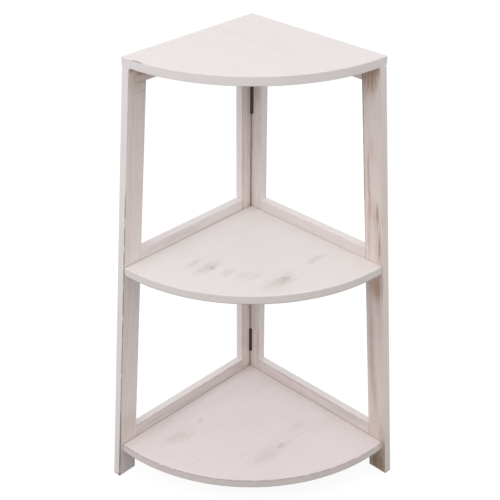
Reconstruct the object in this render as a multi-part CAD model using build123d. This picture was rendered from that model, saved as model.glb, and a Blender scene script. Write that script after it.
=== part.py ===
from build123d import *
from math import sqrt
import os

# A three-tier corner shelf that folds: two ladder frames of whitewashed boards, hinged together at
# the back corner, and three quarter-round shelves that lie on them. Sizes are in millimetres,
# Z is up, the floor is z = 0, and the frames open towards -Y.

# Shelves
top_height = 760.0
middle_height = 417.2
bottom_height = 65.3
shelf_thickness = 15.0
top_radius = 277.0
middle_radius = 292.8
bottom_radius = 322.8
top_overhang = 2.5
shelf_side_gap = 0.4
shelf_seat_gap = 0.2

# Boards of the ladder frames
board_thickness = 15.0
rear_post_width = 22.6
upright_width = 36.5
upright_foot_reach = 335.4
upright_top_reach = 261.8
top_rail_height = 26.4
middle_rail_lip = 19.0
bottom_rail_lip = 22.5
arris = 0.8

# Cleats under the middle and bottom shelves
cleat_width = 8.0
cleat_height = 15.0
cleat_setback = 90.0
cleat_end_gap = 18.0

# Dowels that join the rails to the posts, and the two that locate the top shelf
dowel_radius = 3.0
dowel_length = 28.0
dowel_tip = 0.8
dowel_edge = 8.5
dowel_end_room = 1.0
shelf_dowel_length = 20.0
shelf_dowel_proud = 8.0
shelf_dowel_play = 0.3
shelf_dowel_places = (70.0, 180.0)

# Hinges
corner_gap = 1.2
pin_inset = 1.0
pin_radius = 1.6
pin_clearance = 0.06
pin_proud = 0.5
knuckle_radius = 2.9
knuckle_count = 5
knuckle_gap = 0.2
knuckle_room = 0.25
hinge_length = 49.5
leaf_width = 12.0
leaf_thickness = 1.0
leaf_gap = 0.2
leaf_corner = 1.5
leaf_room = 0.1
hinge_end_distance = 101.0
hinge_screw_spacing = 29.0

# Countersunk wood screws
screw_radius = 1.5
screw_head_radius = 2.5
screw_head_height = 1.0
screw_tip = 2.5
cross_width = 0.5
cross_depth = 0.6
hinge_screw_length = 11.0
cleat_screw_length = 18.0
cleat_screw_count = 3
cleat_screw_edge = 18.0
bond_gap = 0.05

# Heights and places that follow
frame_height = top_height - shelf_thickness - shelf_seat_gap
top_corner = board_thickness + top_overhang
back_reach = top_corner * sqrt(2)
front_reach = bottom_radius + shelf_side_gap * sqrt(2)
corner_y = (front_reach - back_reach) / 2
middle_cleat_top = middle_height - shelf_thickness - shelf_seat_gap
bottom_cleat_top = bottom_height - shelf_thickness - shelf_seat_gap


# One frame is drawn in its own plane: r runs forward along the board faces from the corner line,
# o runs outward from the inner faces, and z is up. These two put it on its side of the shelf.
def right_hand(shape):
    return Pos(0, corner_y, 0) * Rot(0, 0, -45) * shape


def left_hand(shape):
    return mirror(right_hand(shape), about=Plane.YZ)


def upright_front(z):
    """How far forward the leaning front edge of an upright stands at height z."""
    return upright_foot_reach + (upright_top_reach - upright_foot_reach) * z / frame_height


def upright_back(z):
    return upright_front(z) - upright_width


def board(outline, inner=0.0, outer=board_thickness):
    """A board cut to an outline of (r, z) points, with its long edges eased."""
    face = make_face(Polyline(*[(r, inner, z) for r, z in outline], close=True))
    solid = extrude(face, amount=outer - inner, dir=(0, 1, 0))
    long_edges = [edge for edge in solid.edges() if edge.length > 3 * board_thickness]
    return chamfer(long_edges, arris)


def block(r0, r1, o0, o1, z0, z1):
    corner = Pos(r0, o0, z0)
    return corner * Box(r1 - r0, o1 - o0, z1 - z0, align=(Align.MIN, Align.MIN, Align.MIN))


# The ladder frames
rails = {
    "top_rail": (frame_height - top_rail_height, frame_height),
    "middle_rail": (middle_cleat_top - cleat_height, middle_height + middle_rail_lip),
    "bottom_rail": (bottom_cleat_top - cleat_height, bottom_height + bottom_rail_lip),
}


def rail(low, high):
    return board([
        (rear_post_width, low),
        (upright_back(low), low),
        (upright_back(high), high),
        (rear_post_width, high),
    ])


def rear_post(start):
    return board([(start, 0), (rear_post_width, 0), (rear_post_width, frame_height), (start, frame_height)])


def front_upright():
    return board([
        (upright_back(0), 0),
        (upright_front(0), 0),
        (upright_front(frame_height), frame_height),
        (upright_back(frame_height), frame_height),
    ])


def dowel(length):
    return chamfer(Cylinder(dowel_radius, length).edges(), dowel_tip)


def frame_dowel_places():
    """The point on each joint line where a dowel crosses from rail to post or upright."""
    places = []
    for low, high in rails.values():
        for z in (low + dowel_edge, high - dowel_edge):
            places.append((rear_post_width, z))
            places.append((upright_back(z), z))
    return places


def across_joint(r, z, shape):
    return Pos(r, board_thickness / 2, z) * Rot(0, 90, 0) * shape


frame_dowels = [across_joint(r, z, dowel(dowel_length)) for r, z in frame_dowel_places()]
dowel_hole = Cylinder(dowel_radius + bond_gap, dowel_length + 2 * dowel_end_room)
frame_dowel_holes = [across_joint(r, z, dowel_hole) for r, z in frame_dowel_places()]


# Cleats, screwed to the inner faces of the rails just under the shelves
cleat_tops = {"middle_cleat": middle_cleat_top, "bottom_cleat": bottom_cleat_top}


def cleat_end(top):
    return upright_back(top) - cleat_end_gap


def cleat(top):
    low = top - cleat_height
    end = cleat_end(top)
    return board([(cleat_setback, low), (end, low), (end, top), (cleat_setback, top)], -cleat_width, 0)


def screw(length, grow=0.0):
    """A countersunk screw with its head face at z = 0 and its point up, or its hole if grown."""
    profile = Polyline(
        (0, 0, 0),
        (screw_head_radius + grow, 0, 0),
        (screw_radius + grow, 0, screw_head_height),
        (screw_radius + grow, 0, length - screw_tip),
        (0, 0, length + grow),
        close=True,
    )
    body = revolve(make_face(profile), Axis.Z)
    if grow > 0:
        return body
    reach = 1.3 * screw_radius
    cross_arm = Box(2 * reach, cross_width, 2 * cross_depth)
    return body - cross_arm - Rot(0, 0, 90) * cross_arm


def outward(r, o, z, shape):
    return Pos(r, o, z) * Rot(-90, 0, 0) * shape


def inward(r, o, z, shape):
    return Pos(r, o, z) * Rot(90, 0, 0) * shape


def cleat_screw_places():
    places = []
    for top in cleat_tops.values():
        first = cleat_setback + cleat_screw_edge
        last = cleat_end(top) - cleat_screw_edge
        for i in range(cleat_screw_count):
            r = first + (last - first) * i / (cleat_screw_count - 1)
            places.append((r, -cleat_width, top - cleat_height / 2))
    return places


cleat_screws = [outward(*place, screw(cleat_screw_length)) for place in cleat_screw_places()]
cleat_screw_holes = [outward(*place, screw(cleat_screw_length, bond_gap)) for place in cleat_screw_places()]


# Dowels that stand up from the left top rail into the top shelf
def upright_dowels(shape, centre_height):
    return [Pos(r, board_thickness / 2, centre_height) * shape for r in shelf_dowel_places]


shelf_dowel_centre = frame_height + shelf_dowel_proud - shelf_dowel_length / 2
top_shelf_dowels = upright_dowels(dowel(shelf_dowel_length), shelf_dowel_centre)
shelf_dowel_holes = upright_dowels(
    Cylinder(dowel_radius + bond_gap, shelf_dowel_length + dowel_end_room),
    shelf_dowel_centre - dowel_end_room / 2,
)
shelf_sockets = upright_dowels(
    Cylinder(dowel_radius + shelf_dowel_play, 2 * (shelf_dowel_proud + dowel_end_room)),
    frame_height,
)


# Shelves: the square corner points at the corner line, and the arc is centred on that corner
def shelf(top, radius, corner):
    """A quarter disc whose straight edges lie at r = -corner and o = corner of the frames."""
    low = top - shelf_thickness
    start = (0, 0, low)
    outline = [
        Line(start, (radius, 0, low)),
        CenterArc((0, 0, low), radius, 0, -90),
        Line((0, -radius, low), start),
    ]
    solid = extrude(make_face(outline), amount=shelf_thickness, dir=(0, 0, 1))
    long_edges = [edge for edge in solid.edges() if edge.length > 3 * board_thickness]
    solid = chamfer(long_edges, arris)
    return right_hand(Pos(-corner, corner, 0) * solid)


# Butt hinges: closed when the frames are square, with their leaves between the left post's end
# and the right post's face. They are drawn in the right frame's r and o.
pin_r = pin_inset
pin_o = -corner_gap / 2
knuckle_pitch = hinge_length / knuckle_count
gain_depth = leaf_thickness + leaf_gap / 2 - corner_gap / 2


def on_pin(shape, centre_height):
    return Pos(pin_r, pin_o, centre_height) * shape


def knuckles(low, numbers, radius, length):
    """Cylinders round the pin at the numbered knuckles of the hinge that starts at low."""
    return [on_pin(Cylinder(radius, length), low + (i + 0.5) * knuckle_pitch) for i in numbers]


def hinge_screw_places(low):
    middle = low + hinge_length / 2
    r = pin_r - (knuckle_radius + leaf_width) / 2
    return [(r, middle - hinge_screw_spacing / 2), (r, middle + hinge_screw_spacing / 2)]


def hinge_leaf(low, side):
    """One leaf with its knuckles: side is -1 for the left post's leaf and 1 for the right's."""
    near = pin_o + side * leaf_gap / 2
    far = near + side * leaf_thickness
    own = range(0, knuckle_count, 2) if side < 0 else range(1, knuckle_count, 2)
    other = range(1, knuckle_count, 2) if side < 0 else range(0, knuckle_count, 2)
    wall_middle = (knuckle_radius + pin_radius + pin_clearance) / 2
    plate = block(
        pin_r - leaf_width,
        pin_r - wall_middle,
        min(near, far),
        max(near, far),
        low + knuckle_gap / 2,
        low + hinge_length - knuckle_gap / 2,
    )
    free_corners = plate.edges().filter_by(Axis.Y).group_by(Axis.X)[0]
    plate = fillet(free_corners, leaf_corner)
    plate -= knuckles(low, other, knuckle_radius + knuckle_room, knuckle_pitch + knuckle_gap)
    leaf = plate + knuckles(low, own, knuckle_radius, knuckle_pitch - knuckle_gap)
    leaf -= on_pin(Cylinder(pin_radius + pin_clearance, 2 * hinge_length), low + hinge_length / 2)
    face_out = inward if side < 0 else outward
    holes = [face_out(r, near, z, screw(hinge_screw_length, bond_gap)) for r, z in hinge_screw_places(low)]
    return leaf - holes


def hinge_pin(low):
    length = hinge_length + 2 * pin_proud
    pin = chamfer(Cylinder(pin_radius, length).edges(), pin_proud / 2)
    return on_pin(pin, low + hinge_length / 2)


def hinge_gain(low):
    """The room for both leaves and the knuckles, cut from both posts."""
    leaves = block(
        pin_r - leaf_width - leaf_room,
        pin_r,
        -corner_gap - gain_depth,
        gain_depth,
        low - leaf_room,
        low + hinge_length + leaf_room,
    )
    barrel_length = hinge_length + 2 * (pin_proud + knuckle_room)
    barrel = on_pin(Cylinder(knuckle_radius + knuckle_room, barrel_length), low + hinge_length / 2)
    return leaves + barrel


upper_hinge_low = frame_height - hinge_end_distance - hinge_length
hinges = {"lower_hinge": hinge_end_distance, "upper_hinge": upper_hinge_low}
hinge_places = [place for low in hinges.values() for place in hinge_screw_places(low)]
left_face = pin_o - leaf_gap / 2
right_face = pin_o + leaf_gap / 2
hinge_gains = [right_hand(hinge_gain(low)) for low in hinges.values()]
left_hinge_screws = [inward(r, left_face, z, screw(hinge_screw_length)) for r, z in hinge_places]
right_hinge_screws = [outward(r, right_face, z, screw(hinge_screw_length)) for r, z in hinge_places]
left_screw_holes = [
    right_hand(inward(r, left_face, z, screw(hinge_screw_length, bond_gap))) for r, z in hinge_places
]
right_screw_holes = [
    right_hand(outward(r, right_face, z, screw(hinge_screw_length, bond_gap))) for r, z in hinge_places
]


# Every piece by its name, in place
pieces = {}


def add_frame(side, place, post_start, post_cuts, rail_cuts):
    """The boards, cleats and fasteners of one ladder frame."""
    pieces[side + "_rear_post"] = place(rear_post(post_start) - frame_dowel_holes) - post_cuts
    pieces[side + "_front_upright"] = place(front_upright() - frame_dowel_holes)
    for name, (low, high) in rails.items():
        solid = rail(low, high) - frame_dowel_holes - cleat_screw_holes
        if name == "top_rail":
            solid -= rail_cuts
        pieces[side + "_" + name] = place(solid)
    for name, top in cleat_tops.items():
        pieces[side + "_" + name] = place(cleat(top) - cleat_screw_holes)
    pieces[side + "_frame_dowels"] = place(Compound(children=frame_dowels))
    pieces[side + "_cleat_screws"] = place(Compound(children=cleat_screws))


add_frame("left", left_hand, corner_gap, hinge_gains + left_screw_holes, shelf_dowel_holes)
add_frame("right", right_hand, -board_thickness, hinge_gains + right_screw_holes, [])

for name, low in hinges.items():
    pieces[name + "_left_leaf"] = right_hand(hinge_leaf(low, -1))
    pieces[name + "_right_leaf"] = right_hand(hinge_leaf(low, 1))
    pieces[name + "_pin"] = right_hand(hinge_pin(low))
pieces["left_hinge_screws"] = right_hand(Compound(children=left_hinge_screws))
pieces["right_hinge_screws"] = right_hand(Compound(children=right_hinge_screws))

pieces["top_shelf_dowels"] = left_hand(Compound(children=top_shelf_dowels))
sockets = [left_hand(socket) for socket in shelf_sockets]
pieces["top_shelf"] = shelf(top_height, top_radius, top_corner) - sockets
pieces["middle_shelf"] = shelf(middle_height, middle_radius, -shelf_side_gap)
pieces["bottom_shelf"] = shelf(bottom_height, bottom_radius, -shelf_side_gap)

for name, shape in pieces.items():
    export_step(shape, f"parts/{name}.step")
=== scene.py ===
import bpy
import math
from mathutils import Matrix, Vector

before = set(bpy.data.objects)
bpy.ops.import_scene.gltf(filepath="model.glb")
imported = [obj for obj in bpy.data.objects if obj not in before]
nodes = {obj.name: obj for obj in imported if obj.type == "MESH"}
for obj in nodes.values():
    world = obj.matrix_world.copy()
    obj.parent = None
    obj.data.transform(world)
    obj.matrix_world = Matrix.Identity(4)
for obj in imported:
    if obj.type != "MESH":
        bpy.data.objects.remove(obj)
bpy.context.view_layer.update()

# Directions in the row frame, which is in metres with Z up. Each ladder frame has a direction that
# runs forward along its boards from the corner line, and one that points out of its outer faces.
diagonal = math.sqrt(0.5)
up = Vector((0, 0, 1))
left_forward = Vector((-diagonal, -diagonal, 0))
right_forward = Vector((diagonal, -diagonal, 0))
forward = {"left": left_forward, "right": right_forward}
outward = {"left": -right_forward, "right": -left_forward}
mm = 0.001


def reach(node, axis):
    """The lowest and highest place of a node along an axis."""
    places = [vertex.co.dot(axis) for vertex in nodes[node].data.vertices]
    return min(places), max(places)


left_face = reach("left_middle_rail", outward["left"])[0]
right_face = reach("right_middle_rail", outward["right"])[0]
corner = outward["left"] * left_face + outward["right"] * right_face
floor_height = reach("left_front_upright", up)[0]


def shade(red, green, blue):
    """A colour given as it shows on a screen, 0 to 255, turned into the linear values that shaders use."""
    def linear(value):
        value /= 255
        return value / 12.92 if value <= 0.04045 else ((value + 0.055) / 1.055) ** 2.4
    return (linear(red), linear(green), linear(blue), 1)


class Field:
    """A number that varies over a surface, held by a node's output. Arithmetic on it adds nodes."""

    def __init__(self, graph, socket):
        self.graph = graph
        self.socket = socket

    def __add__(self, other):
        return self.graph.math("ADD", self, other)

    def __radd__(self, other):
        return self.graph.math("ADD", other, self)

    def __sub__(self, other):
        return self.graph.math("SUBTRACT", self, other)

    def __rsub__(self, other):
        return self.graph.math("SUBTRACT", other, self)

    def __mul__(self, other):
        return self.graph.math("MULTIPLY", self, other)

    def __rmul__(self, other):
        return self.graph.math("MULTIPLY", other, self)

    def __truediv__(self, other):
        return self.graph.math("DIVIDE", self, other)

    def swing(self, amount):
        """How far a noise field is from its middle value, times an amount."""
        return amount * (self - 0.5)


class Graph:
    """The node tree of one material, with a short call for each kind of node it needs."""

    def __init__(self, name):
        self.material = bpy.data.materials.new(name)
        self.material.use_nodes = True
        self.tree = self.material.node_tree
        self.shader = self.tree.nodes["Principled BSDF"]
        self.position = self.tree.nodes.new("ShaderNodeTexCoord").outputs["Object"]

    def feed(self, value, socket):
        """Links a socket to a field or another node's output, or gives it a plain value."""
        if isinstance(value, Field):
            value = value.socket
        if isinstance(value, bpy.types.NodeSocket):
            self.tree.links.new(value, socket)
        else:
            socket.default_value = value

    def math(self, operation, *values):
        node = self.tree.nodes.new("ShaderNodeMath")
        node.operation = operation
        for value, socket in zip(values, node.inputs):
            self.feed(value, socket)
        return Field(self, node.outputs[0])

    def smallest(self, *values):
        result = values[0]
        for value in values[1:]:
            result = self.math("MINIMUM", result, value)
        return result

    def largest(self, *values):
        result = values[0]
        for value in values[1:]:
            result = self.math("MAXIMUM", result, value)
        return result

    def length(self, *parts):
        """The length of a vector that is given by its parts."""
        total = parts[0] * parts[0]
        for part in parts[1:]:
            total = total + part * part
        return self.math("SQRT", total)

    def along(self, axis, origin=Vector()):
        """How many millimetres a point lies along an axis from an origin."""
        node = self.tree.nodes.new("ShaderNodeVectorMath")
        node.operation = "DOT_PRODUCT"
        self.feed(self.position, node.inputs[0])
        node.inputs[1].default_value = axis / mm
        return Field(self, node.outputs["Value"]) - origin.dot(axis) / mm

    def axes(self):
        """Where a point lies along the row frame's three axes, in millimetres."""
        return [self.along(axis) for axis in (Vector((1, 0, 0)), Vector((0, 1, 0)), up)]

    def point(self, x, y, z):
        node = self.tree.nodes.new("ShaderNodeCombineXYZ")
        for value, socket in zip((x, y, z), node.inputs):
            self.feed(value, socket)
        return node.outputs[0]

    def noise(self, place, detail=2.0, roughness=0.5):
        """Smooth random values about 0.5, whose bumps are one unit apart. They vary with a point, or
        along a single field."""
        node = self.tree.nodes.new("ShaderNodeTexNoise")
        if isinstance(place, Field):
            node.noise_dimensions = "1D"
            self.feed(place, node.inputs["W"])
        else:
            self.feed(place, node.inputs["Vector"])
        node.inputs["Scale"].default_value = 1
        node.inputs["Detail"].default_value = detail
        node.inputs["Roughness"].default_value = roughness
        return Field(self, node.outputs["Fac"])

    def ease(self, value, start, end):
        """0 before start and 1 after end, or the other way round where end is the lower."""
        node = self.tree.nodes.new("ShaderNodeMapRange")
        node.interpolation_type = "SMOOTHSTEP"
        self.feed(value, node.inputs["Value"])
        node.inputs["From Min"].default_value = start
        node.inputs["From Max"].default_value = end
        return Field(self, node.outputs["Result"])

    def mix(self, share, first, second):
        """A colour that goes from the first to the second as share goes from 0 to 1."""
        node = self.tree.nodes.new("ShaderNodeMix")
        node.data_type = "RGBA"
        colours = [socket for socket in node.inputs if socket.type == "RGBA"]
        self.feed(share, node.inputs[0])
        self.feed(first, colours[0])
        self.feed(second, colours[1])
        return [socket for socket in node.outputs if socket.type == "RGBA"][0]

    def finish(self, colour, roughness, height, depth):
        """Feeds the shader its colour, its roughness and a bump of a height field so many metres deep."""
        self.feed(colour, self.shader.inputs["Base Color"])
        self.feed(roughness, self.shader.inputs["Roughness"])
        bump = self.tree.nodes.new("ShaderNodeBump")
        bump.inputs["Strength"].default_value = 1
        bump.inputs["Distance"].default_value = depth
        self.feed(height, bump.inputs["Height"])
        self.tree.links.new(bump.outputs["Normal"], self.shader.inputs["Normal"])
        return self.material


class Wood:
    """One whitewashed piece: its grain direction, its size, its paint, and the marks that show on it.
    Lengths are in millimetres, and strengths are shares from 0 to 1."""

    def __init__(self, node, grain, across, out, ends, seed):
        self.node = node
        self.axes = (grain, across, out)
        self.ends = ends
        self.seed = seed
        spans = [reach(node, axis) for axis in self.axes]
        self.halves = [(high - low) / 2 / mm for low, high in spans]
        middles = [axis * (low + high) / 2 for axis, (low, high) in zip(self.axes, spans)]
        self.centre = sum(middles, Vector())

        # The centre and radius of a shelf's round front
        self.arc = None

        # The paint's colours, how much of the wood it covers, and how dull, thin and worn it is
        self.paint = paint_white
        self.inner_paint = None
        self.cover = 0.97
        self.inner_thin = 0.0
        self.inner_dull = 0.0
        self.rim_thin = 0.0
        self.foot_thin = 0.0
        self.outer_streaks = 0.35
        self.streaks = 1.0
        self.wear = 0.4

        # Thin places on the inner face: place, half length, half width, strength
        self.thin_paint = []
        # Knots: place, radius, how many times longer than wide, strength
        self.knots = []
        # Nail holes: place, radius
        self.holes = []
        # Rubbed edges: from and to along the grain, side across and side out (-1, 1, or 0 for a
        # shelf's round front), width, strength
        self.worn_edges = []
        # Chips: start, end, half width, strength
        self.chips = []
        # Grime and painted shade where a shelf touches: height, half height, strength
        self.seams = []
        # Sides left raw: number of the axis, side, depth, strength, whether on the inner face alone
        self.raw_sides = []

    def place(self, point):
        """A point of the row frame as millimetres along and across the grain from the piece's centre."""
        return [(point - self.centre).dot(axis) / mm for axis in self.axes]


# Colours of the whitewashed wood
paint_white = shade(238, 231, 230)
paint_dull = shade(206, 193, 190)
bare_tan = shade(198, 168, 142)
bare_brown = shade(122, 90, 68)
knot_brown = shade(158, 134, 124)
# Colour of the seams beside the shelves: grime and painted shade of the gaps
seam_grime_and_shade = shade(150, 124, 110)
worn_brown = shade(122, 94, 78)
hole_dark = shade(92, 76, 66)

# Figure of the wood, in millimetres: bumps so long along the grain and so wide across it
wander_bump = (160, 45)
fibre_bump = (26, 0.8)
pore_bump = (9, 0.7)
cloud_bump = (70, 28)
edge_bump = (22, 9)
knot_bump = (7, 2.5)
knot_bump_depth = 5
seed_shift = 37.0

# Growth rings about a pith behind the face, in millimetres
ring_wander = 34.0
broad_ring = 7.5
narrow_ring = 1.8
pith_depth = 38.0
pith_depth_swing = 6.0
pith_depth_turn = 1.7
pith_across_share = 0.35
pith_across_turn = 2.4
broad_share = 0.4
narrow_share = 0.35
fibre_share = 0.25

# Knots: how far out and how much they bend the grain, in radii, and how ragged they are
knot_reach = 2.6
knot_bend = 0.8
knot_ragged = 3.2
knot_edge = 1.3

# Paint: thresholds at which figure shows, and how strongly it does
face_depth = 1
dull_grain = (0.4, 0.75)
dull_pores = (0.58, 0.7)
pore_strength = 0.4
cloud_strength = 0.5
edge_streaks = 0.25
inner_streaks = 0.35
thin_grain = (0.4, 0.6)
thin_least = 0.5
thin_gain = 1.2
spot_edge = (1.2, 0.2)
spot_streak_swing = 1.6
spot_fibre_swing = 3.6
seam_edge = (1.0, 0.3)
seam_swing = 1.2
raw_softness = 0.4
raw_swing = 1.5
rim_edge = (1.0, 0.2)
rim_least = 0.5
foot_reach = 170
foot_least = 0.4
foot_gain = 1.2
bare_grain = (0.42, 0.6)
bare_fibre_share = 0.6
bare_streak_share = 0.4

# Wear: distances from an edge in millimetres, and thresholds of the noise that breaks it up
wear_swing = 1.2
wear_patches = (0.56, 0.72)
wear_width = (1.7, 0.6)
rubbed_patches = (0.25, 0.55)
rubbed_inner_share = 0.35
rubbed_fade = 20
side_reach = (5, 3)
rim_reach = (6, 4)
chip_edge = (1.1, 0.7)
chip_swing = 1.2

# Nail holes, in radii
hole_edge = (1.25, 0.75)
hole_wall = (1.2, 0.6)
hole_ring = (3.4, 1.4)
hole_ring_strength = 0.6
hole_depth = 3.0

# Relief and gloss of the painted surface
relief = 0.25 * mm
fibre_relief = 0.35
ring_relief = 0.25
thin_relief = 0.2
rub_relief = 0.5
paint_roughness = 0.58
cloud_roughness = 0.2
bare_roughness = 0.12


class Whitewash:
    """White paint, wiped on thin, over grained and knotted wood that shows where it is thin or worn.
    A surface point lies u along the grain, v across it and w out, in millimetres from the centre."""

    def __init__(self, wood):
        self.wood = wood
        self.graph = Graph("whitewashed_" + wood.node)
        self.u, self.v, self.w = [self.graph.along(axis, wood.centre) for axis in wood.axes]
        self.shift = seed_shift * wood.seed
        self.half_across, self.half_out = wood.halves[1:]
        self.inner = self.graph.ease(self.w, face_depth - self.half_out, -self.half_out)
        self.outer = self.graph.ease(self.w, self.half_out - face_depth, self.half_out)
        self.find_edges()
        self.grow_knots()
        self.grow_rings()
        self.dull_paint()
        self.thin_paint()
        self.touch_shelves()
        self.rub_edges()

    def figure(self, across, bump, detail=2.0, roughness=0.5):
        """Noise with bumps of a given length along the grain and width across it."""
        length, width = bump
        point = self.graph.point(self.u / length + self.shift, across / width, self.w / width)
        return self.graph.noise(point, detail, roughness)

    def from_spot(self, spot, half_length, half_width):
        """How far a point is from a spot on the face: 1 at the spot's outline. Also the spot's v."""
        place_u, place_v, _ = self.wood.place(spot)
        du = (self.u - place_u) / half_length
        dv = (self.v - place_v) / half_width
        return self.graph.length(du, dv), place_v

    def near_side(self, place, half):
        """1 close to one side of the piece, and 0 further in than that."""
        fades_in, full = side_reach
        return self.graph.ease(place, half - fades_in, half - full)

    def find_edges(self):
        """How far a point is from the nearest edge of the piece and, on a shelf, from the round front."""
        graph, wood = self.graph, self.wood
        side = self.half_across - graph.math("ABSOLUTE", self.v)
        face = self.half_out - graph.math("ABSOLUTE", self.w)
        self.rim = None
        if wood.arc is not None:
            centre, radius = wood.arc
            x = graph.along(left_forward, centre)
            y = graph.along(right_forward, centre)
            self.rim = radius - graph.length(x, y)
            self.edge = graph.largest(graph.smallest(x, y, self.rim), face)
        elif wood.ends is not None:
            low, high = reach(wood.node, wood.ends)
            middle = wood.ends * (low + high) / 2
            end = (high - low) / 2 / mm - graph.math("ABSOLUTE", graph.along(wood.ends, middle))
            shorter = graph.smallest(side, face)
            longer = graph.largest(side, face)
            self.edge = graph.largest(shorter, graph.smallest(longer, end))
        else:
            self.edge = graph.largest(side, face)

    def grow_knots(self):
        """Knots with ragged outlines, and grain lines that are pushed round them."""
        graph = self.graph
        self.line = self.v
        self.knot = 0.0
        length, width = knot_bump
        for spot, radius, stretch, strength in self.wood.knots:
            away, place_v = self.from_spot(spot, stretch * radius, radius)
            bend = graph.ease(away, knot_reach, 0.0)
            self.line = self.line - (self.line - place_v) * knot_bend * bend
            point = graph.point(self.u / length + self.shift, self.v / width, self.w / knot_bump_depth)
            ragged = away + graph.noise(point, 4, 0.7).swing(knot_ragged)
            self.knot = self.knot + strength * graph.ease(ragged, knot_edge, 0.0)

    def grow_rings(self):
        """Growth rings round a pith that lies behind the face, so that streaks widen and narrow."""
        graph = self.graph
        wander = self.figure(self.line, wander_bump) - 0.5
        pith_across = pith_across_share * self.half_across * math.sin(pith_across_turn * self.wood.seed)
        pith_out = pith_depth + pith_depth_swing * math.sin(pith_depth_turn * self.wood.seed)
        ring = graph.length(self.line - pith_across + ring_wander * wander, self.w + pith_out)
        broad = graph.noise(ring / broad_ring + self.shift, 2, 0.6)
        self.narrow = graph.noise(ring / narrow_ring + self.shift, 2, 0.6)
        self.fibre = self.figure(self.line, fibre_bump, 3, 0.6)
        self.pores = self.figure(self.line, pore_bump, 1)
        length, width = cloud_bump
        self.cloud = graph.noise(graph.point(self.u / length - self.shift, self.v / width, self.w / width))
        self.streak = broad_share * broad + narrow_share * self.narrow + fibre_share * self.fibre

    def dull_paint(self):
        """Paint goes dull over dense grain and pores, most on the broad faces."""
        graph, wood = self.graph, self.wood
        grain = graph.ease(self.streak + self.cloud.swing(cloud_strength), *dull_grain)
        dull = grain + pore_strength * graph.ease(self.pores, *dull_pores)
        faces = edge_streaks + inner_streaks * self.inner + wood.outer_streaks * self.outer
        self.dull = graph.smallest(dull * wood.streaks * faces + wood.inner_dull * self.inner, 1.0)

    def thin_paint(self):
        """Bare wood shows through in general and in spots, and on raw sides, round fronts and feet."""
        graph, wood, inner = self.graph, self.wood, self.inner
        grain = thin_least + thin_gain * graph.ease(self.streak, *thin_grain)
        thin = 1 - wood.cover + wood.inner_thin * inner * grain
        for spot, half_length, half_width, strength in wood.thin_paint:
            away, _ = self.from_spot(spot, half_length, half_width)
            away = away + self.streak.swing(spot_streak_swing) + self.fibre.swing(spot_fibre_swing)
            thin = thin + strength * inner * graph.ease(away, *spot_edge)
        for index, side, depth, strength, inner_alone in wood.raw_sides:
            skin = wood.halves[index] - (self.u, self.v, self.w)[index] * side
            skin = skin + self.fibre.swing(raw_swing)
            raw = graph.ease(skin, depth + raw_softness, depth - raw_softness)
            thin = thin + (raw * inner if inner_alone else raw) * strength
        if self.rim is not None:
            thin = thin + wood.rim_thin * graph.ease(self.rim, *rim_edge) * (rim_least + self.fibre)
        if wood.foot_thin:
            height = graph.along(up, up * floor_height)
            grain = foot_least + foot_gain * self.streak
            thin = thin + wood.foot_thin * graph.ease(height, foot_reach, 0) * grain
        self.thin = graph.smallest(thin, 1.0)

    def touch_shelves(self):
        """Grime and painted shade in the seams where the shelves touch."""
        graph = self.graph
        self.grime = 0.0
        for height, half_height, strength in self.wood.seams:
            gap = graph.math("ABSOLUTE", graph.along(up, up * height * mm)) / half_height
            grime = graph.ease(gap + self.cloud.swing(seam_swing), *seam_edge)
            self.grime = self.grime + strength * self.inner * grime

    def rub_edges(self):
        """Wear along the edges in general, on the edges that show it in the photograph, and chips."""
        graph, wood = self.graph, self.wood
        patches = self.figure(self.v, edge_bump, 3, 0.6)
        inward = self.edge + patches.swing(wear_swing)
        rub = graph.ease(patches, *wear_patches) * wood.wear * graph.ease(inward, *wear_width)
        for start, end, side_across, side_out, width, strength in wood.worn_edges:
            near = graph.ease(self.u, start - rubbed_fade, start + rubbed_fade)
            near = near * graph.ease(self.u, end + rubbed_fade, end - rubbed_fade)
            near = near * self.near_side(self.w * side_out, self.half_out)
            if side_across:
                near = near * self.near_side(self.v * side_across, self.half_across)
            else:
                near = near * graph.ease(self.rim, *rim_reach)
            worn = graph.ease(patches, *rubbed_patches)
            worn = worn * graph.ease(inward, width, rubbed_inner_share * width)
            rub = graph.largest(rub, near * strength * worn)
        for start, end, half_width, strength in wood.chips:
            middle = (start + end) / 2
            direction = (end - start).normalized()
            along = graph.along(direction, middle) / ((end - start).length / 2 / mm)
            rise = graph.along(up, middle) / half_width
            run = graph.along(direction.cross(up), middle) / half_width
            away = graph.length(along, rise, run) + patches.swing(chip_swing)
            rub = graph.smallest(rub + strength * graph.ease(away, *chip_edge), 1.0)
        self.rub = rub

    def material(self):
        graph, wood = self.graph, self.wood
        bare_figure = bare_fibre_share * self.fibre + bare_streak_share * self.streak
        bare = graph.mix(graph.ease(bare_figure, *bare_grain), bare_tan, bare_brown)
        paint = graph.mix(self.inner, wood.paint, wood.inner_paint or wood.paint)
        paint = graph.mix(self.dull, paint, paint_dull)
        colour = graph.mix(self.thin, paint, bare)
        # Darkened seams: grime and painted shade where the shelves meet the frames
        colour = graph.mix(self.grime, colour, seam_grime_and_shade)
        colour = graph.mix(graph.smallest(self.knot, 1.0), colour, knot_brown)
        colour = graph.mix(self.rub, colour, worn_brown)
        height = fibre_relief * self.fibre + ring_relief * self.narrow
        height = height - thin_relief * self.thin - rub_relief * self.rub
        for spot, radius in wood.holes:
            parts = [field - value for field, value in zip((self.u, self.v, self.w), wood.place(spot))]
            away = graph.length(*parts) / radius
            colour = graph.mix(graph.ease(away, *hole_ring) * hole_ring_strength, colour, paint_white)
            colour = graph.mix(graph.ease(away, *hole_edge), colour, hole_dark)
            height = height - hole_depth * graph.ease(away, *hole_wall)
        roughness = paint_roughness + self.cloud.swing(cloud_roughness)
        roughness = roughness + bare_roughness * self.rub + bare_roughness * self.thin
        return graph.finish(colour, roughness, height, relief)


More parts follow.
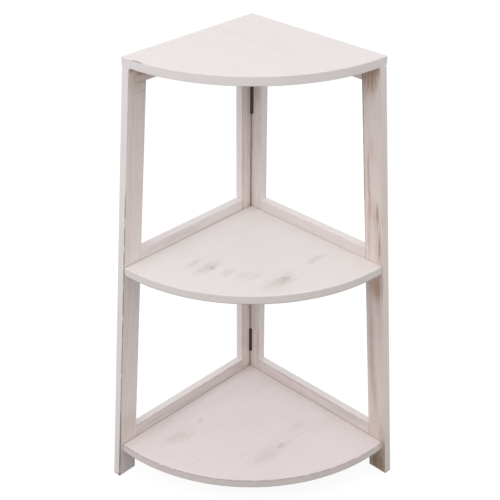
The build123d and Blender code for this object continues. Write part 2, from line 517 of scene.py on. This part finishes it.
def plain_wood(name, light, dark):
    """Bare turned wood for the dowels, whose grain lies level."""
    fibre_length = 9
    fibre_width = 0.7
    cloud_size = 12
    graph = Graph(name)
    x, y, z = graph.axes()
    fibre = graph.noise(graph.point(x / fibre_length, y / fibre_length, z / fibre_width), 3, 0.6)
    cloud = graph.noise(graph.point(x / cloud_size, y / cloud_size, z / cloud_size))
    colour = graph.mix(graph.ease(0.6 * fibre + 0.4 * cloud, 0.35, 0.65), light, dark)
    return graph.finish(colour, 0.55 + fibre.swing(0.2), fibre, 0.08 * mm)


def metal(name, base, worn, grime, roughness, metallic):
    """Plated metal with cloudy patina, fine scratches and rubbed high spots."""
    patina_width = 4
    patina_height = 6
    scratch_width = 0.5
    scratch_height = 2.5
    graph = Graph(name)
    x, y, z = graph.axes()
    patina = graph.point(x / patina_width, y / patina_width, z / patina_height)
    scratches = graph.point(x / scratch_width, y / scratch_width, z / scratch_height)
    cloud = graph.noise(patina, 3, 0.6)
    fine = graph.noise(scratches)
    colour = graph.mix(graph.ease(cloud, 0.35, 0.65), base, grime)
    colour = graph.mix(graph.ease(fine + 0.6 * cloud, 0.9, 1.1), colour, worn)
    graph.shader.inputs["Metallic"].default_value = metallic
    return graph.finish(colour, roughness + cloud.swing(0.3), fine, 0.05 * mm)


def dress(node, material):
    nodes[node].data.materials.clear()
    nodes[node].data.materials.append(material)


# The whitewashed pieces
woods = {}


def add_wood(node, grain, across, out, ends=None):
    woods[node] = Wood(node, grain, across, out, ends, seed=len(woods) + 1)
    return woods[node]


def lean(side):
    """The direction in which an upright's edges rise."""
    vertices = [vertex.co for vertex in nodes[side + "_front_upright"].data.vertices]
    top = reach(side + "_front_upright", up)[1]
    foot_ahead = max(co.dot(forward[side]) for co in vertices if co.z < floor_height + mm)
    top_ahead = max(co.dot(forward[side]) for co in vertices if co.z > top - mm)
    return (forward[side] * (top_ahead - foot_ahead) + up * (top - floor_height)).normalized()


upright_across = {"left": 1, "right": -1}
for side in ("left", "right"):
    ahead = forward[side]
    out = outward[side]
    rise = lean(side)
    add_wood(side + "_rear_post", up, ahead, out, ends=up)
    add_wood(side + "_front_upright", rise, rise.cross(out) * upright_across[side], out, ends=up)
    for name in ("top_rail", "middle_rail", "bottom_rail"):
        add_wood(side + "_" + name, ahead, up, out)
    for name in ("middle_cleat", "bottom_cleat"):
        add_wood(side + "_" + name, ahead, up, out, ends=ahead)

shelf_grain = {
    "top_shelf": (right_forward, left_forward),
    "middle_shelf": (left_forward, right_forward),
    "bottom_shelf": (left_forward, right_forward),
}
for name, (grain, across) in shelf_grain.items():
    shelf = add_wood(name, grain, across, up)
    shelf.outer_streaks = 0
    low_left, high_left = reach(name, left_forward)
    low_right = reach(name, right_forward)[0]
    shelf.arc = (left_forward * low_left + right_forward * low_right, (high_left - low_left) / mm)


# Places of marks, in millimetres: forward along a frame and up from the floor, or along the left and
# the right frame from a shelf's corner
def on_frame(side, ahead, height):
    return corner + forward[side] * ahead * mm + up * height * mm


def on_shelf(node, left, right):
    start = up * reach(node, up)[1]
    start += left_forward * reach(node, left_forward)[0]
    start += right_forward * reach(node, right_forward)[0]
    return start + left_forward * left * mm + right_forward * right * mm


def on_rim(node, degrees):
    """A point on the upper rim of a shelf's round front, so many degrees from the left frame."""
    radius = (reach(node, left_forward)[1] - reach(node, left_forward)[0]) / mm
    angle = math.radians(degrees)
    return on_shelf(node, radius * math.cos(angle), radius * math.sin(angle))


def add_thin_spots(side, name, *spots):
    """Each spot: forward and up on the frame, half length and half width, strength."""
    for ahead, height, half_length, half_width, strength in spots:
        place = on_frame(side, ahead, height)
        woods[side + "_" + name].thin_paint.append((place, half_length, half_width, strength))


def add_knots(node, *knots):
    """Each knot: along the left and the right frame, radius, stretch, strength."""
    for left, right, radius, stretch, strength in knots:
        woods[node].knots.append((on_shelf(node, left, right), radius, stretch, strength))


# Marks that the two frames share. An edge that is rubbed from end to end runs from -whole to whole,
# which is past the ends of every piece.
whole = 400
seam_above = 0.6
seam_half_height = 1.4
# The seams' grime and painted shade are stronger on the left frame
seam_strength = {"left": 0.22, "right": 0.06}
foot_end = (0, -1, 2.0, 0.75, False)
shelf_tops = [reach(name, up)[1] / mm for name in ("middle_shelf", "bottom_shelf")]
for side in ("left", "right"):
    for name in ("rear_post", "front_upright", "middle_rail", "bottom_rail"):
        for height in shelf_tops:
            seam = (height + seam_above, seam_half_height, seam_strength[side])
            woods[side + "_" + name].seams.append(seam)
    post = woods[side + "_rear_post"]
    post.raw_sides.append(foot_end)
    post.inner_thin = 0.15
    post.foot_thin = 0.12
    woods[side + "_front_upright"].raw_sides.append(foot_end)
    rail = woods[side + "_bottom_rail"]
    rail.inner_dull = 0.4
    rail.inner_thin = 0.07
    rail.streaks = 0.6
    rail.worn_edges.append((-whole, whole, 1, -1, 1.7, 0.35))

# Middle rails
woods["left_middle_rail"].inner_dull = 0.06
rail = woods["right_middle_rail"]
# The right middle rail's paint is lighter as painted light on its top, dulled back on its inner face
rail.inner_dull = 0.45
rail.streaks = 0.2
rail.paint = shade(243, 237, 235)

# Left front upright
upright = woods["left_front_upright"]
upright.inner_paint = shade(240, 230, 227)
upright.inner_thin = 0.05
upright.foot_thin = 0.05
upright.streaks = 0.35
upright.worn_edges.append((-whole, 170, 1, -1, 1.7, 0.8))
upright.worn_edges.append((-whole, -240, 1, -1, 2.4, 0.9))
add_thin_spots(
    "left", "front_upright",
    (246, 741, 3.5, 22, 0.8),
    (236, 732, 3.5, 14, 0.6),
    (238, 719, 2.4, 10, 0.35),
    (234, 704, 2.4, 8, 0.25),
    (246, 728, 26, 26, 0.25),
    (304, 96, 40, 26, 0.22),
)

# Right front upright, the piece with the most bare wood
upright = woods["right_front_upright"]
upright.paint = shade(238, 229, 222)
upright.inner_paint = shade(240, 226, 222)
upright.inner_thin = 0.06
upright.foot_thin = 0.16
upright.streaks = 0.6
upright.worn_edges.append((120, whole, -1, -1, 3.4, 0.9))
upright.worn_edges.append((-whole, 140, -1, -1, 2.4, 0.5))
add_thin_spots(
    "right", "front_upright",
    # The spots just under the top shelf are bare wood, and also painted shade beneath the shelf
    (246, 742, 16, 24, 0.7),
    (243, 728, 26, 18, 0.45),
    (234, 722, 28, 6, 0.35),
    (240, 720, 24, 3.0, 0.35),
    (248, 716, 30, 2.4, 0.45),
    (254, 724, 26, 2.4, 0.4),
    (256, 612, 24, 6, 0.25),
    (252, 575, 40, 3.0, 0.5),
    (259, 520, 44, 3.0, 0.45),
    (272, 500, 34, 12, 0.3),
    (276, 503, 24, 3.2, 0.6),
    (285, 448, 34, 3.2, 0.6),
    (284, 440, 40, 13, 0.3),
    (262, 460, 60, 5, 0.2),
    (284, 372, 26, 20, 0.55),
    (290, 350, 44, 7, 0.3),
    (281, 290, 60, 7, 0.28),
    (288, 215, 70, 6, 0.4),
    (300, 160, 60, 6, 0.3),
    (318, 80, 50, 9, 0.25),
    (328, 56, 34, 6, 0.4),
    (317, 14, 34, 26, 0.9),
)

# Left rear post, with a nail hole in its front edge
post = woods["left_rear_post"]
post.inner_paint = shade(241, 231, 228)
# Its side in the corner gap is raw wood, and also painted shade of the gap
post.raw_sides.append((1, -1, 1.4, 0.5, False))
post.worn_edges.append((-330, 330, 1, -1, 1.7, 0.25))
post.worn_edges.append((-whole, 40, 1, 1, 2.0, 0.4))
add_thin_spots("left", "rear_post", (10, 640, 55, 9, 0.2))
nail_ahead = 22.6
nail_height = 439.3
nail_outward = 5.6
nail_radius = 1.2
nail = on_frame("left", nail_ahead, nail_height) + outward["left"] * nail_outward * mm
post.holes.append((nail, nail_radius))

# Right rear post, whose inner face is raw where it laps behind the left post: raw wood and painted shade
# in the corner gap
woods["right_rear_post"].raw_sides.append((1, -1, 15.8, 0.45, True))
add_thin_spots(
    "right", "rear_post",
    (12, 660, 50, 8, 0.45),
    (12, 165, 80, 12, 0.2),
    (20, 130, 36, 4, 0.3),
)

# Top shelf, with a chip in its rim near the left frame
shelf = woods["top_shelf"]
shelf.streaks = 0.35
shelf.wear = 0.0
chip_start = on_rim("top_shelf", 3.4)
chip_end = on_rim("top_shelf", 9.6)
shelf.chips.append((chip_start, chip_end, 1.0, 0.8))

# Middle shelf, whose paint is lighter than the others as painted light
shelf = woods["middle_shelf"]
shelf.paint = shade(241, 235, 233)
shelf.streaks = 0.28
shelf.wear = 0.3
shelf.rim_thin = 0.1
# The dark line along the lower rim is wear and painted shade under the rim
shelf.worn_edges.append((-whole, whole, 0, -1, 2.4, 0.5))
add_knots(
    "middle_shelf",
    (193, 101, 5, 1.4, 0.45),
    (197, 94, 13, 2.2, 0.24),
    (186, 128, 9, 1.8, 0.18),
    (206, 70, 8, 3.0, 0.2),
    (176, 150, 9, 2.0, 0.12),
    (165, 168, 9, 2.0, 0.1),
    (140, 207, 9, 1.8, 0.22),
    (146, 206, 17, 2.2, 0.22),
    (58, 201, 7, 3.2, 0.22),
    (8, 15, 3, 1.2, 0.3),
)

# Bottom shelf, whose paint is a little darker than the others as painted shade
shelf = woods["bottom_shelf"]
shelf.paint = shade(236, 228, 227)
shelf.streaks = 0.7
shelf.wear = 0.6
shelf.rim_thin = 0.14
shelf.worn_edges.append((-whole, whole, 0, 1, 2.2, 0.5))
# The dark line along the lower rim is wear and painted shade under the rim
shelf.worn_edges.append((-whole, whole, 0, -1, 2.4, 0.5))
add_knots(
    "bottom_shelf",
    (246, 51, 11, 2.4, 0.18),
    (232, 63, 11, 2.4, 0.16),
    (132, 201, 6, 1.8, 0.22),
    (165, 199, 14, 3.2, 0.18),
    (183, 51, 5, 1.6, 0.2),
    (72, 185, 8, 3.0, 0.15),
)

for wood in woods.values():
    dress(wood.node, Whitewash(wood).material())

# Fittings
hinge_bronze = metal(
    "hinge_bronze",
    base=shade(84, 68, 58),
    worn=shade(142, 116, 88),
    grime=shade(52, 44, 40),
    roughness=0.42,
    metallic=0.8,
)
screw_steel = metal(
    "screw_steel",
    base=shade(178, 176, 170),
    worn=shade(214, 212, 205),
    grime=shade(150, 146, 138),
    roughness=0.3,
    metallic=1.0,
)
dowel_wood = plain_wood("dowel_wood", light=shade(214, 184, 146), dark=shade(190, 156, 116))
for node in nodes:
    if node.endswith(("_leaf", "_pin")):
        dress(node, hinge_bronze)
    elif node.endswith("_screws"):
        dress(node, screw_steel)
    elif node.endswith("_dowels"):
        dress(node, dowel_wood)


# Camera, at the place and angle from which the photograph was taken
camera_place = Vector((-0.036953, -1.509556, 1.321430))
camera_turn = math.radians(1.2185)
camera_pitch = math.radians(-30.9965)
camera_roll = math.radians(0.2885)
camera_lens = 76.676
camera_sensor = 36

look = Vector((
    math.sin(camera_turn) * math.cos(camera_pitch),
    math.cos(camera_turn) * math.cos(camera_pitch),
    math.sin(camera_pitch),
))
level = Vector((math.cos(camera_turn), -math.sin(camera_turn), 0))
above = level.cross(look)
camera_x = math.cos(camera_roll) * level + math.sin(camera_roll) * above
camera_y = -math.sin(camera_roll) * level + math.cos(camera_roll) * above
camera_axes = Matrix((camera_x, camera_y, -look)).transposed().to_4x4()
camera = bpy.data.objects.new("camera", bpy.data.cameras.new("camera"))
camera.data.lens = camera_lens
camera.data.sensor_width = camera_sensor
camera.matrix_world = Matrix.Translation(camera_place) @ camera_axes
bpy.context.scene.collection.objects.link(camera)
bpy.context.scene.camera = camera
bpy.context.scene.view_settings.view_transform = "Standard"


# Light: a white studio all round, and three large soft lamps above
lamp_target = Vector((0, 0, 0.4))


def lamp(name, place, size, watts, colour=(1, 1, 1)):
    data = bpy.data.lights.new(name, "AREA")
    data.energy = watts
    data.size = size
    data.color = colour
    holder = bpy.data.objects.new(name, data)
    holder.location = place
    holder.rotation_mode = "QUATERNION"
    holder.rotation_quaternion = (lamp_target - Vector(place)).to_track_quat("-Z", "Y")
    bpy.context.scene.collection.objects.link(holder)


lamp("lamp_front_left", place=(-1.5, -1.5, 2.4), size=1.5, watts=16.4)
lamp("lamp_front_right", place=(1.5, -1.5, 2.4), size=1.5, watts=3.2)
lamp("lamp_left", place=(-2.2, -0.6, 2.0), size=1.4, watts=5.0, colour=(0.94, 0.88, 1))


def seen(tree):
    """1 for rays that show a surface to the camera, also in metal or glass, and 0 for others."""
    path = tree.nodes.new("ShaderNodeLightPath")
    total = path.outputs["Is Camera Ray"]
    for name in ("Is Glossy Ray", "Is Transmission Ray"):
        node = tree.nodes.new("ShaderNodeMath")
        node.operation = "MAXIMUM"
        tree.links.new(total, node.inputs[0])
        tree.links.new(path.outputs[name], node.inputs[1])
        total = node.outputs[0]
    return total


world_strength = 0.81
world = bpy.data.worlds.new("studio")
bpy.context.scene.world = world
world.use_nodes = True
backdrop = world.node_tree.nodes["Background"]
backdrop.inputs["Color"].default_value = (1, 1, 1, 1)
strength = world.node_tree.nodes.new("ShaderNodeMapRange")
strength.inputs["To Min"].default_value = world_strength
strength.inputs["To Max"].default_value = 1
world.node_tree.links.new(seen(world.node_tree), strength.inputs["Value"])
world.node_tree.links.new(strength.outputs["Result"], backdrop.inputs["Strength"])


# Floor: seen as plain white with a faint shadow, and clear when seen from below
floor_size = 12.0
floor_bounce = 0.31
floor_seen_share = 0.16
floor_glow = 0.905


def grey_surface(tree, level):
    shader = tree.nodes.new("ShaderNodeBsdfDiffuse")
    shader.inputs["Color"].default_value = (level, level, level, 1)
    return shader.outputs[0]


def mixed(tree, share, first, second):
    node = tree.nodes.new("ShaderNodeMixShader")
    for output, socket in zip((share, first, second), node.inputs):
        tree.links.new(output, socket)
    return node.outputs[0]


def floor_paint():
    material = bpy.data.materials.new("floor")
    material.use_nodes = True
    tree = material.node_tree
    tree.nodes.clear()
    glow = tree.nodes.new("ShaderNodeEmission")
    glow.inputs["Strength"].default_value = floor_glow
    shown = tree.nodes.new("ShaderNodeAddShader")
    tree.links.new(grey_surface(tree, floor_seen_share), shown.inputs[0])
    tree.links.new(glow.outputs[0], shown.inputs[1])
    from_above = mixed(tree, seen(tree), grey_surface(tree, floor_bounce), shown.outputs[0])
    underside = tree.nodes.new("ShaderNodeNewGeometry").outputs["Backfacing"]
    clear = tree.nodes.new("ShaderNodeBsdfTransparent").outputs[0]
    output = tree.nodes.new("ShaderNodeOutputMaterial")
    tree.links.new(mixed(tree, underside, from_above, clear), output.inputs["Surface"])
    return material


bpy.ops.mesh.primitive_plane_add(size=floor_size, location=(0, 0, floor_height))
floor = bpy.context.object
floor.name = "floor"
floor.data.materials.append(floor_paint())
